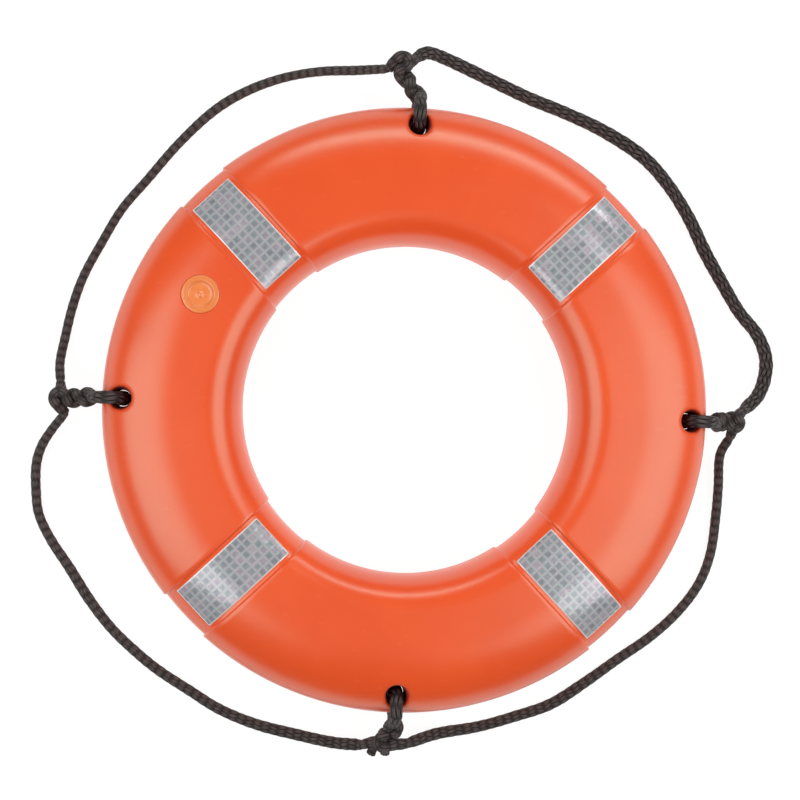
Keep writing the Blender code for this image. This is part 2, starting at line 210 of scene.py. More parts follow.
hitchRope = {
    "wide": (1.16, 1.16),
    "high": 1.11,
    "endScale": 0.84,
    "spread": 0.22,  # how much thicker the rope gets where it bends over the edge
    "spreadFrom": 0.312,  # distance from the ring's axis where that starts
    "spreadOver": 0.008,
    "squeezed": 0.18,  # and how much more where it fills the hole
    "squeezedFrom": 0.2885,
    "squeezedOver": 0.003,
    # through the hole and round the edge, as distance from the ring's axis and height, from the top down
    "roundEdge": [
        (0.3134, 0.0654), (0.3094, 0.0740), (0.3042, 0.0795), (0.2975, 0.0832), (0.2908, 0.0810),
        (0.2862, 0.0735), (0.2847, 0.0640), (0.2841, 0.0500), (0.2847, 0.0360), (0.2862, 0.0265),
        (0.2908, 0.0190), (0.2975, 0.0168), (0.3042, 0.0205), (0.3094, 0.0260), (0.3134, 0.0346),
    ],
    "stemStart": (0.3160, 0.0500),
    "stemPoints": 5,
    "stemTurn": 125,  # degrees the twisted pair has turned where it leaves the edge
    "pairRadius": 0.0050,  # from the middle of the twisted pair to each rope
    # round the knot: away from the ring, to the left, and up, from the knot's centre
    "intoKnot": [
        (0.0044, 0.0058, 0.0036), (0.0068, -0.0010, 0.0052), (0.0026, -0.0060, 0.0042),
        (-0.0034, -0.0044, 0.0058), (-0.0062, 0.0008, 0.0062),
    ],
    "outOfKnot": [
        (-0.0066, -0.0010, -0.0046), (-0.0022, 0.0050, -0.0056), (0.0044, 0.0044, -0.0040),
        (0.0052, -0.0026, -0.0012), (0.0008, -0.0064, 0.0010),
    ],
}

cutRope = {"wide": (0.92, 0.92), "high": 0.92, "endScale": 1.0}
cutEnds = {
    "rope_end_a": [(-0.0120, -0.3380, 0.0350), (-0.0175, -0.3430, 0.0330), (-0.0208, -0.3508, 0.0300)],
    "rope_end_b": [(-0.0050, -0.3390, 0.0350), (-0.0062, -0.3446, 0.0340), (-0.0066, -0.3502, 0.0320)],
}


def smoothPath(route, spacing):
    # even points on a smooth curve through the route
    knots = [Vector(point) for point in route]
    knots = [2 * knots[0] - knots[1], *knots, 2 * knots[-1] - knots[-2]]
    fine = []
    for a, b, c, d in zip(knots, knots[1:], knots[2:], knots[3:]):
        for step in range(rope["curveSteps"]):
            t = step / rope["curveSteps"]
            bend = (2 * a - 5 * b + 4 * c - d) * t**2
            change = (3 * b - a - 3 * c + d) * t**3
            fine.append(0.5 * (2 * b + (c - a) * t + bend + change))
    fine.append(knots[-2])
    fine = np.array([tuple(point) for point in fine])
    lengths = np.r_[0, np.cumsum(np.linalg.norm(np.diff(fine, axis=0), axis=1))]
    count = max(2, round(lengths[-1] / spacing))
    wanted = np.linspace(0, lengths[-1], count + 1)
    return np.column_stack([np.interp(wanted, lengths, fine[:, axis]) for axis in range(3)]), lengths[-1]


def pathFrames(path, flat):
    # two directions square to the path: level and upright where the rope lies flat, else carried along
    tangents = np.gradient(path, axis=0)
    tangents /= np.linalg.norm(tangents, axis=1)[:, None]
    if flat:
        across = np.cross(tangents, (0.0, 0.0, 1.0))
    else:
        across = np.zeros_like(path)
        start = np.cross(tangents[0], (0.0, 0.0, 1.0))
        across[0] = start if np.linalg.norm(start) > 0.1 else (1.0, 0.0, 0.0)
        for i in range(1, len(path)):
            across[i] = across[i - 1] - tangents[i] * np.dot(across[i - 1], tangents[i])
            across[i] /= np.linalg.norm(across[i])
    across /= np.linalg.norm(across, axis=1)[:, None]
    return across, np.cross(across, tangents)


def makeBraidTree():
    # a guide line becomes the strands of a braid that cross over and under each other
    tree = bpy.data.node_groups.new("ropeBraid", "GeometryNodeTree")
    sockets = tree.interface
    sockets.new_socket("Geometry", in_out="INPUT", socket_type="NodeSocketGeometry")
    for name, value in (
        ("Radius", rope["diameter"] / 2),
        ("Lay", rope["lay"]),
        ("Strand Width", rope["strandWidth"]),
        ("Strand Thickness", rope["strandThickness"]),
        ("Crossing", rope["crossing"]),
    ):
        sockets.new_socket(name, in_out="INPUT", socket_type="NodeSocketFloat").default_value = value
    pairs = sockets.new_socket("Strand Pairs", in_out="INPUT", socket_type="NodeSocketInt")
    pairs.default_value = rope["strandPairs"]
    sockets.new_socket("Material", in_out="INPUT", socket_type="NodeSocketMaterial")
    sockets.new_socket("Geometry", in_out="OUTPUT", socket_type="NodeSocketGeometry")
    given = addNode(tree, "NodeGroupInput", -1400, 0)
    result = addNode(tree, "NodeGroupOutput", 1800, 0)
    link = tree.links.new

    def calc(operation, *values):
        node = addNode(tree, "ShaderNodeMath", 0, -300, operation=operation)
        for socket, value in zip(node.inputs, values):
            if isinstance(value, (int, float)):
                socket.default_value = value
            else:
                link(value, socket)
        return node.outputs[0]

    def vectorCalc(operation, first, second):
        node = addNode(tree, "ShaderNodeVectorMath", 0, -600, operation=operation)
        link(first, node.inputs[0])
        link(second, node.inputs["Scale"] if operation == "SCALE" else node.inputs[1])
        return node.outputs[0]

    def named(name, kind):
        node = addNode(tree, "GeometryNodeInputNamedAttribute", -1000, -400, data_type=kind)
        node.inputs["Name"].default_value = name
        return node.outputs["Attribute"]

    def store(geometry, name, value):
        node = addNode(tree, "GeometryNodeStoreNamedAttribute", 900, 200, data_type="FLOAT", domain="POINT")
        node.inputs["Name"].default_value = name
        link(geometry, node.inputs["Geometry"])
        link(value, node.inputs["Value"])
        return node.outputs["Geometry"]

    line = addNode(tree, "GeometryNodeMeshToCurve", -1100, 200)
    link(given.outputs["Geometry"], line.inputs["Mesh"])
    copies = addNode(tree, "GeometryNodeDuplicateElements", -900, 200, domain="SPLINE")
    link(line.outputs["Curve"], copies.inputs["Geometry"])
    link(calc("MULTIPLY", given.outputs["Strand Pairs"], 2), copies.inputs["Amount"])
    index = copies.outputs["Duplicate Index"]
    pairCount = given.outputs["Strand Pairs"]
    along = named("along", "FLOAT")
    way = calc("SUBTRACT", calc("MULTIPLY", calc("MODULO", index, 2), 2), 1)  # -1 or 1
    carrier = calc("FLOOR", calc("DIVIDE", index, 2))
    turns = calc("DIVIDE", along, given.outputs["Lay"])
    whereAround = calc("ADD", calc("MULTIPLY", way, turns), calc("DIVIDE", carrier, pairCount))
    angle = calc("MULTIPLY", whereAround, 2 * math.pi)
    wave = calc("COSINE", calc("MULTIPLY", calc("MULTIPLY", turns, pairCount), 2 * math.pi))
    rise = calc("MULTIPLY", calc("MULTIPLY", wave, way), given.outputs["Crossing"])
    halfStrand = calc("MULTIPLY", given.outputs["Strand Thickness"], 0.5)
    reach = calc("SUBTRACT", given.outputs["Radius"], calc("ADD", halfStrand, given.outputs["Crossing"]))
    radius = calc("ADD", reach, rise)
    sideways = vectorCalc("SCALE", named("across", "FLOAT_VECTOR"), calc("COSINE", angle))
    upwards = vectorCalc("SCALE", named("upright", "FLOAT_VECTOR"), calc("SINE", angle))
    outward = vectorCalc("ADD", sideways, upwards)
    spread = vectorCalc(
        "ADD",
        vectorCalc("SCALE", sideways, calc("MULTIPLY", radius, named("wide", "FLOAT"))),
        vectorCalc("SCALE", upwards, calc("MULTIPLY", radius, named("high", "FLOAT"))),
    )
    shifted = addNode(tree, "GeometryNodeSetPosition", -500, 200)
    kept = store(copies.outputs["Geometry"], "strand", index)
    kept = store(kept, "alongStrand", along)
    kept = store(kept, "lift", calc("MULTIPLY", wave, way))
    link(kept, shifted.inputs["Geometry"])
    link(spread, shifted.inputs["Offset"])
    facing = addNode(tree, "GeometryNodeSetCurveNormal", -250, 200, mode="FREE")
    link(shifted.outputs["Geometry"], facing.inputs["Curve"])
    link(outward, facing.inputs["Normal"])

    circle = addNode(tree, "GeometryNodeCurvePrimitiveCircle", -500, 600)
    circle.inputs["Resolution"].default_value = rope["strandSides"]
    circle.inputs["Radius"].default_value = 1.0
    spot = addNode(tree, "GeometryNodeSplineParameter", -500, 400)
    marked = store(circle.outputs["Curve"], "aroundStrand", spot.outputs["Factor"])
    flatten = addNode(tree, "ShaderNodeCombineXYZ", -500, 800)
    link(calc("MULTIPLY", given.outputs["Strand Thickness"], 0.5), flatten.inputs["X"])
    link(calc("MULTIPLY", given.outputs["Strand Width"], 0.5), flatten.inputs["Y"])
    flatten.inputs["Z"].default_value = 1.0
    shaped = addNode(tree, "GeometryNodeTransform", -250, 600)
    link(marked, shaped.inputs["Geometry"])
    link(flatten.outputs[0], shaped.inputs["Scale"])
    solid = addNode(tree, "GeometryNodeCurveToMesh", 300, 200)
    solid.inputs["Fill Caps"].default_value = True
    link(facing.outputs["Curve"], solid.inputs["Curve"])
    link(shaped.outputs["Geometry"], solid.inputs["Profile Curve"])
    real = addNode(tree, "GeometryNodeRealizeInstances", 600, 200)
    link(solid.outputs["Mesh"], real.inputs["Geometry"])
    painted = addNode(tree, "GeometryNodeSetMaterial", 1200, 200)
    link(real.outputs["Geometry"], painted.inputs["Geometry"])
    link(given.outputs["Material"], painted.inputs["Material"])
    link(painted.outputs["Geometry"], result.inputs["Geometry"])
    return tree


def braid(name, route, make, shape, flat, endScale):
    # the braid along one route, as a plain mesh; its ends can be drawn in where they run into a knot
    tree, material = make
    path, length = smoothPath(route, rope["step"])
    reach = np.hypot(path[:, 0], path[:, 1])
    overEdge = np.clip((hitchRope["spreadFrom"] - reach) / hitchRope["spreadOver"], 0, 1)
    inHole = np.clip((hitchRope["squeezedFrom"] - reach) / hitchRope["squeezedOver"], 0, 1)
    bent = 1 + hitchRope["spread"] * overEdge
    bent += hitchRope["squeezed"] * inHole
    if flat:
        path[:, 2] = np.maximum(path[:, 2], rope["restHeight"])
    across, upright = pathFrames(path, flat)
    guide = bpy.data.meshes.new(name + "Guide")
    guide.from_pydata([tuple(point) for point in path], [(i, i + 1) for i in range(len(path) - 1)], [])
    distance = np.linspace(0, length, len(path))
    toEnd = np.minimum(distance, length - distance)
    drawn = endScale + (1 - endScale) * np.clip(toEnd / rope["drawIn"], 0, 1)
    apart = len(name) * rope["swayApart"]
    sway = np.array([noise.noise(Vector((d * rope["swayRate"], apart, 0.0))) for d in distance])
    values = {
        "along": distance,
        "wide": np.linspace(*shape["wide"], len(path)) * bent * drawn * (1 + rope["swayWide"] * sway),
        "high": shape["high"] * bent * drawn * (1 - rope["swayHigh"] * sway),
    }
    for label, numbers in values.items():
        guide.attributes.new(label, "FLOAT", "POINT").data.foreach_set("value", numbers)
    for label, directions in (("across", across), ("upright", upright)):
        guide.attributes.new(label, "FLOAT_VECTOR", "POINT").data.foreach_set("vector", directions.ravel())
    draft = addObject(name + "Guide", guide)
    modifier = draft.modifiers.new("braid", "NODES")
    modifier.node_group = tree
    for socket in tree.interface.items_tree:
        if socket.name == "Material" and socket.in_out == "INPUT":
            modifier[socket.identifier] = material
    graph = bpy.context.evaluated_depsgraph_get()
    mesh = bpy.data.meshes.new_from_object(draft.evaluated_get(graph))
    bpy.data.objects.remove(draft, do_unlink=True)
    mesh.name = name
    mesh.polygons.foreach_set("use_smooth", [True] * len(mesh.polygons))
    piece = addObject(name, mesh)
    return piece, path, length


def makeRopeMaterial():
    material, tree, shader = newMaterial("blackBraid")
    link = tree.links.new
    shader.inputs["Roughness"].default_value = 0.60
    shader.inputs["Specular IOR Level"].default_value = 0.35
    around = addNode(tree, "ShaderNodeAttribute", -1200, 200, attribute_name="aroundStrand")
    along = addNode(tree, "ShaderNodeAttribute", -1200, 0, attribute_name="alongStrand")
    strand = addNode(tree, "ShaderNodeAttribute", -1200, -200, attribute_name="strand")
    lift = addNode(tree, "ShaderNodeAttribute", -1200, 400, attribute_name="lift")
    place = addNode(tree, "ShaderNodeCombineXYZ", -1000, 100)
    link(around.outputs["Fac"], place.inputs["X"])
    link(along.outputs["Fac"], place.inputs["Y"])
    link(strand.outputs["Fac"], place.inputs["Z"])
    scaled = addNode(tree, "ShaderNodeVectorMath", -820, 100, operation="MULTIPLY")
    scaled.inputs[1].default_value = (22.0, 70.0, 5.3)
    link(place.outputs[0], scaled.inputs[0])
    yarns = addNode(tree, "ShaderNodeTexNoise", -640, 100)
    yarns.inputs["Scale"].default_value = 1.0
    yarns.inputs["Detail"].default_value = 3.0
    link(scaled.outputs[0], yarns.inputs["Vector"])
    # painted shade: each strand's colour darkens where it dips under the crossing strands, mixed with the
    # yarns' own noise tone
    dipShadeAndYarns = addNode(tree, "ShaderNodeMath", -640, 400, operation="MULTIPLY_ADD")
    dipShadeAndYarns.inputs[1].default_value = 0.30
    link(lift.outputs["Fac"], dipShadeAndYarns.inputs[0])
    link(yarns.outputs["Fac"], dipShadeAndYarns.inputs[2])
    tint = addNode(tree, "ShaderNodeValToRGB", -420, 200)
    tint.color_ramp.elements[0].position = 0.30
    tint.color_ramp.elements[0].color = (0.0040, 0.0032, 0.0030, 1)
    tint.color_ramp.elements[1].position = 0.90
    tint.color_ramp.elements[1].color = (0.115, 0.094, 0.086, 1)
    middle = tint.color_ramp.elements.new(0.60)
    middle.color = (0.026, 0.020, 0.019, 1)
    link(dipShadeAndYarns.outputs[0], tint.inputs["Fac"])
    link(tint.outputs["Color"], shader.inputs["Base Color"])
    bump = addNode(tree, "ShaderNodeBump", -200, -200)
    bump.inputs["Strength"].default_value = 0.6
    bump.inputs["Distance"].default_value = 0.0004
    link(yarns.outputs["Fac"], bump.inputs["Height"])
    link(bump.outputs["Normal"], shader.inputs["Normal"])
    return material


def localPoint(hitch, forward, left, up):
    # a point beside the knot's centre: forward is away from the ring
    angle = math.radians(hitch["angle"])
    outward = Vector((math.cos(angle), math.sin(angle), 0))
    sideways = Vector((-math.sin(angle), math.cos(angle), 0))
    return Vector(hitch["knot"]) + outward * forward + sideways * left + Vector((0, 0, up))


def hitchRoute(hitch):
    # from the left bight: round the knot, along the pair, over the edge, down the hole and back
    angle = math.radians(hitch["angle"])
    edge = [(r * math.cos(angle), r * math.sin(angle), z) for r, z in hitchRope["roundEdge"]]
    into = [tuple(localPoint(hitch, *place)) for place in hitchRope["intoKnot"]]
    out = [tuple(localPoint(hitch, *place)) for place in hitchRope["outOfKnot"]]
    distance, height = hitchRope["stemStart"]
    start = Vector((distance * math.cos(angle), distance * math.sin(angle), height))
    end = localPoint(hitch, *hitch["neck"])
    sideways = Vector((-math.sin(angle), math.cos(angle), 0.0))
    pairs = []
    for step in range(hitchRope["stemPoints"]):
        share = step / (hitchRope["stemPoints"] - 1)
        turn = math.radians(hitchRope["stemTurn"]) + math.pi * hitch["halfTurns"] * share
        offset = (sideways * math.cos(turn) + Vector((0, 0, math.sin(turn)))) * hitchRope["pairRadius"]
        middle = start.lerp(end, share)
        pairs.append((tuple(middle + offset), tuple(middle - offset)))
    upper = [pair[0] for pair in reversed(pairs)]
    lower = [pair[1] for pair in pairs]
    return [hitch["left"], *into, *upper, *edge, *lower, *out, hitch["right"]]


def makeGrabLine():
    make = (makeBraidTree(), makeRopeMaterial())
    tied = {name: [] for name in bights}
    for name, hitch in hitches.items():
        piece, _, _ = braid(name + "Rope", hitchRoute(hitch), make, hitchRope, False, hitchRope["endScale"])
        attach(piece, "ring")
        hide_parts(name)
        tied[hitch["cords"]].append(piece)
    for name, route in cutEnds.items():
        piece, _, _ = braid(name + "Braid", route, make, cutRope, False, cutRope["endScale"])
        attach(piece, "ring")
        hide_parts(name)
        tied["becket_225"].append(piece)
    for name, bight in bights.items():
        piece, path, length = braid(name + "Braid", bight["route"], make, bight, True, rope["bightEnd"])
        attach(piece, bight["body"])
        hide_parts(name)
        print(name, "is", round(length, 3), "m long with", len(piece.data.polygons), "faces")


makeGrabLine()
print("grab line braided")


shell = {
    "outerRadius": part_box("shell")[1][0],
    "innerRadius": 0.165,
    "thickness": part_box("shell")[1][2],
    "flatInner": 0.201,
    "flatOuter": 0.233,
    "fullness": 2.2,
    "bandWidth": 0.056,
    "bandDepth": 0.0022,
    "bandSoftness": 0.0010,
    "holeRadius": 0.0115,
    "holeWaist": 0.0083,
    "holeCentre": 0.2843,
    "holeRound": 0.0042,
    "holeRows": (15.9, 64.8),  # degrees round the shoulder between which a rope hole lies
    "holeShares": (0.4531, 0.5469),  # and the share of the way from one band to the next
    "waistHalf": 0.003,
    "partingLine": 0.00022,
    "partingWidth": 0.0007,
    "waviness": 0.00012,
    "wavesPerMetre": 26,
}
shellColours = {
    "deep": (0.885, 0.084, 0.0125, 1),
    "bright": (0.945, 0.099, 0.0155, 1),
    "scuffed": (0.95, 0.30, 0.14, 1),
    # painted shade: dark red standing in for the shadow on the rope holes' walls
    "bore": (0.60, 0.026, 0.006, 1),
    "gleam": (0.35, 1.0, 0.85, 1),
}
plug = {
    "angle": 153.5,
    "centre": 0.2344,
    "seatRadius": 0.0190,
    "seatDepth": 0.0022,
    "seatRound": 0.0005,
    "seatShares": (0.078, 0.223),  # share of the way from the band at 135 degrees to the next
    "seatRows": (72.7, 0.2119),  # degrees round the shoulder, and distance from the axis on the land
    "around": 96,
}
tapeAngles = (45, 135, 225, 315)
holeFill = {"flatSteps": 4, "flatEase": 0.8, "lipSteps": 6, "wallSteps": 8}


def quarterRows():
    # steps from the outer edge over the upper face to the inner edge: (part, amount)
    low, high = shell["holeRows"]
    outer = [0.0, 0.15, 0.45, 0.8, 2, 4.5, 7.5, 10.5, 13.2, low]
    outer += list(np.linspace(low, high, 13))[1:]
    outer += [67.5, 70.2, 72.7, 76, 80, 84, 87.5, 90]
    rows = [("outer", math.radians(value)) for value in outer]
    land = [0.2295, 0.2260, 0.2225, 0.2190, 0.2155, 0.2119, 0.2080, 0.2045, 0.2010]
    rows += [("land", value) for value in land]
    inner = [87, *range(83, 12, -5), 9, 5.5, 2.6, 0.9, 0.45, 0.15, 0.0]
    rows += [("inner", math.radians(value)) for value in inner]
    return rows


def sectionPoint(part, amount, inset):
    # (distance from the axis, height above the middle) on the section drawn in by inset
    half = shell["thickness"] / 2 - inset
    power = 2 / shell["fullness"]
    if part == "land":
        return amount, half
    rise = half * math.sin(amount) ** power
    run = math.cos(amount) ** power if amount < math.pi / 2 - 1e-9 else 0.0
    if part == "outer":
        return shell["flatOuter"] + (shell["outerRadius"] - inset - shell["flatOuter"]) * run, rise
    return shell["flatInner"] - (shell["flatInner"] - shell["innerRadius"] - inset) * run, rise


def upperHeight(distance, inset=0.0):
    # height above the middle, at a distance from the axis, of the upper face drawn in by inset
    half = shell["thickness"] / 2 - inset
    if distance < shell["flatInner"]:
        share = (shell["flatInner"] - distance) / (shell["flatInner"] - shell["innerRadius"] - inset)
    else:
        share = (distance - shell["flatOuter"]) / (shell["outerRadius"] - inset - shell["flatOuter"])
    share = min(max(share, 0.0), 1.0)
    return half * (1 - share ** shell["fullness"]) ** (1 / shell["fullness"])


def ringRows():
    # the whole closed section: the upper half, then the lower half back to the start
    upper = [(part, amount, 1) for part, amount in quarterRows()]
    lower = [(part, amount, -1) for part, amount in reversed(quarterRows()[1:-1])]
    return upper + lower


def ringColumns():
    # every column round the ring: ("band", angle, offset), or ("span", angle, share of the way onwards)
    half = shell["bandWidth"] / 2
    soft = shell["bandSoftness"]
    steps = [half + soft * share for share in (-1.0, -0.6, -0.3, 0.0, 0.3, 0.6, 1.0)]
    flat = list(np.linspace(-(half - soft), half - soft, 15))[1:-1]
    offsets = [-value for value in reversed(steps)] + flat + steps
    columns = []
    for angle in tapeAngles:
        columns += [("band", angle, offset) for offset in offsets]
        breaks = [0.0, *shell["holeShares"], 1.0]
        counts = [38, 9, 38]
        if angle == 135:
            breaks = [0.0, *plug["seatShares"], *shell["holeShares"], 1.0]
            counts = [7, 13, 19, 9, 38]
        shares = []
        for low, high, count in zip(breaks, breaks[1:], counts):
            shares += list(np.linspace(low, high, count + 1))[1:]
        columns += [("span", angle, share) for share in shares[:-1]]
    return columns


def columnPoint(column, part, amount, side):
    kind, angle, value = column
    start = math.radians(angle)
    radius, height = sectionPoint(part, amount, 0.0)
    edge = shell["bandWidth"] / 2 + shell["bandSoftness"]
    if kind == "span":
        lean = math.asin(edge / radius)
        turn = (start + lean) * (1 - value) + (start + math.pi / 2 - lean) * value
        return radius * math.cos(turn), radius * math.sin(turn), side * height
    lowRadius, lowHeight = sectionPoint(part, amount, shell["bandDepth"])
    depth = smoothStep((edge - abs(value)) / (2 * shell["bandSoftness"]))
    radius = radius * (1 - depth) + lowRadius * depth
    x = math.sqrt(radius**2 - value**2)
    z = height * (1 - depth) + lowHeight * depth
    return (
        x * math.cos(start) - value * math.sin(start),
        x * math.sin(start) + value * math.cos(start),
        side * z,
    )


def fillRoundHole(points, faces, border, centre, side, hole):
    # rings of faces from a border of the grid to a round opening in it, rounded over, then down its wall
    cx, cy = centre
    offsets = [(points[i][0] - cx, points[i][1] - cy) for i in border]
    angles = [math.atan2(y, x) for x, y in offsets]
    rim = hole["radius"] + hole["round"]
    previous = list(border)

    def addRing(places):
        nonlocal previous
        start = len(points)
        points.extend(places)
        ring = list(range(start, start + len(places)))
        joinRings(faces, previous, ring)
        previous = ring

    for step in range(1, holeFill["flatSteps"] + 1):
        share = (step / holeFill["flatSteps"]) ** holeFill["flatEase"]
        places = []
        for (x, y), angle in zip(offsets, angles):
            px = cx + x * (1 - share) + rim * math.cos(angle) * share
            py = cy + y * (1 - share) + rim * math.sin(angle) * share
            places.append((px, py, side * upperHeight(math.hypot(px, py))))
        addRing(places)
    outerRing = [points[i] for i in previous]
    cornerHeights = []
    for angle in angles:
        px = cx + hole["radius"] * math.cos(angle)
        py = cy + hole["radius"] * math.sin(angle)
        cornerHeights.append(upperHeight(math.hypot(px, py)))
    for step in range(1, holeFill["lipSteps"] + 1):
        t = step / holeFill["lipSteps"]
        places = []
        for angle, corner, (ox, oy, oz) in zip(angles, cornerHeights, outerRing):
            wall = (cx + hole["radius"] * math.cos(angle), cy + hole["radius"] * math.sin(angle))
            low = corner - hole["round"]
            px = (1 - t) ** 2 * ox + (2 * t * (1 - t) + t * t) * wall[0]
            py = (1 - t) ** 2 * oy + (2 * t * (1 - t) + t * t) * wall[1]
            pz = (1 - t) ** 2 * abs(oz) + 2 * t * (1 - t) * corner + t * t * low
            places.append((px, py, side * pz))
        addRing(places)
    return previous


def joinRings(faces, first, second):
    for i in range(len(first)):
        j = (i + 1) % len(first)
        faces.append((first[i], first[j], second[j], second[i]))


def wallTo(points, faces, ring, height, steps, centre, narrowing):
    # carries a ring up or down to one height, drawing it in towards the centre by a share
    base = [points[i] for i in ring]
    cx, cy = centre
    for step in range(1, steps + 1):
        share = step / steps
        scale = 1 - narrowing * share
        start = len(points)
        for x, y, z in base:
            points.append((cx + (x - cx) * scale, cy + (y - cy) * scale, z + (height - z) * share))
        current = list(range(start, len(points)))
        joinRings(faces, ring, current)
        ring = current
    return ring


def makeShellMesh():
    rows = ringRows()
    columns = ringColumns()
    rowCount = len(rows)
    points = []
    for column in columns:
        points.extend(columnPoint(column, *row) for row in rows)

    def index(column, row):
        return (column % len(columns)) * rowCount + row % rowCount

    def rowNear(part, amount):
        fits = [i for i, row in enumerate(rows) if row[0] == part and row[2] > 0]
        return min(fits, key=lambda i: abs(rows[i][1] - amount))

    def columnNear(angle, share):
        fits = [i for i, column in enumerate(columns) if column[:2] == ("span", angle)]
        return min(fits, key=lambda i: abs(columns[i][2] - share))

    openings = []
    upperRows = tuple(rowNear("outer", math.radians(value)) for value in shell["holeRows"])
    lowerRows = (rowCount - upperRows[1], rowCount - upperRows[0])
    hole = {"radius": shell["holeRadius"], "round": shell["holeRound"]}
    for angle in tapeAngles:
        spot = math.radians(angle + 45)
        centre = (shell["holeCentre"] * math.cos(spot), shell["holeCentre"] * math.sin(spot))
        sides = tuple(columnNear(angle, share) for share in shell["holeShares"])
        openings.append((sides, upperRows, 1, centre, hole))
        openings.append((sides, lowerRows, -1, centre, hole))
    spot = math.radians(plug["angle"])
    onShoulder, onLand = plug["seatRows"]
    seatRows = (rowNear("outer", math.radians(onShoulder)), rowNear("land", onLand))
    seatSides = tuple(columnNear(135, share) for share in plug["seatShares"])
    seatCentre = (plug["centre"] * math.cos(spot), plug["centre"] * math.sin(spot))
    seat = {"radius": plug["seatRadius"], "round": plug["seatRound"]}
    openings.append((seatSides, seatRows, 1, seatCentre, seat))

    narrowing = 1 - shell["holeWaist"] / shell["holeRadius"]
    skipped = set()
    for (left, right), (low, high), _, _, _ in openings:
        skipped |= {(c, r) for c in range(left, right) for r in range(low, high)}
    faces = []
    for c in range(len(columns)):
        for r in range(rowCount):
            if (c, r) not in skipped:
                faces.append((index(c, r), index(c + 1, r), index(c + 1, r + 1), index(c, r + 1)))
    waiting = None
    for (left, right), (low, high), side, centre, shape in openings:
        border = [index(c, low) for c in range(left, right)]
        border += [index(right, r) for r in range(low, high)]
        border += [index(c, high) for c in range(right, left, -1)]
        border += [index(left, r) for r in range(high, low, -1)]
        lip = fillRoundHole(points, faces, border, centre, side, shape)
        if shape is seat:
            floor = shell["thickness"] / 2 - plug["seatDepth"]
            ring = wallTo(points, faces, lip, floor, 2, centre, 0.0)
            inner = wallTo(points, faces, ring, floor, 1, centre, 0.5)
            points.append((centre[0], centre[1], floor))
            faces += [(inner[i], inner[(i + 1) % len(inner)], len(points) - 1) for i in range(len(inner))]
        elif side > 0:
            waiting = wallTo(points, faces, lip, shell["waistHalf"], holeFill["wallSteps"], centre, narrowing)
        else:
            last = wallTo(points, faces, lip, -shell["waistHalf"], holeFill["wallSteps"], centre, narrowing)
            # the tunnel's lower half meets its upper half: each point finds the one above it
            ordered = [min(waiting, key=lambda j: math.dist(points[i][:2], points[j][:2])) for i in last]
            joinRings(faces, last, ordered)
    return points, faces


def markBores(mesh):
    # 1 on the walls of the rope holes, fading out over their rounded lips: the mask for the painted shade
    # inside the holes
    marks = []
    for vert in mesh.vertices:
        nearest = 1.0
        for angle in tapeAngles:
            spot = math.radians(angle + 45)
            x, y = shell["holeCentre"] * math.cos(spot), shell["holeCentre"] * math.sin(spot)
            nearest = min(nearest, math.hypot(vert.co.x - x, vert.co.y - y) - shell["holeRadius"])
        marks.append(smoothStep(1 - nearest / (0.3 * shell["holeRound"])))
    mesh.attributes.new("bore", "FLOAT", "POINT").data.foreach_set("value", marks)


def makeShell():
    points, faces = makeShellMesh()
    points = np.array(points)
    radius = np.hypot(points[:, 0], points[:, 1])
    edge = np.where(radius > 0.295, 1.0, np.where(radius < 0.17, -1.0, 0.0))
    ridge = np.clip(1 - np.abs(points[:, 2]) / shell["partingWidth"], 0, 1) * shell["partingLine"] * edge
    points[:, :2] *= (1 + ridge / radius)[:, None]
    points[:, 2] += shell["thickness"] / 2
    mesh = meshFrom("shellSkin", points, faces)
    solid = bmesh.new()
    solid.from_mesh(mesh)
    loose = [vert for vert in solid.verts if not vert.link_faces]
    bmesh.ops.delete(solid, geom=loose, context="VERTS")
    bmesh.ops.recalc_face_normals(solid, faces=solid.faces)
    solid.normal_update()
    for vert in solid.verts:
        if 0.0005 < vert.co.z:
            vert.co += vert.normal * noise.noise(vert.co * shell["wavesPerMetre"]) * shell["waviness"]
    solid.to_mesh(mesh)
    solid.free()
    markBores(mesh)
    piece = addObject("shellSkin", mesh)
    piece.data.materials.append(makeShellMaterial())
    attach(piece, "ring")
    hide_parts("shell")
    print("shell has", len(mesh.polygons), "faces")


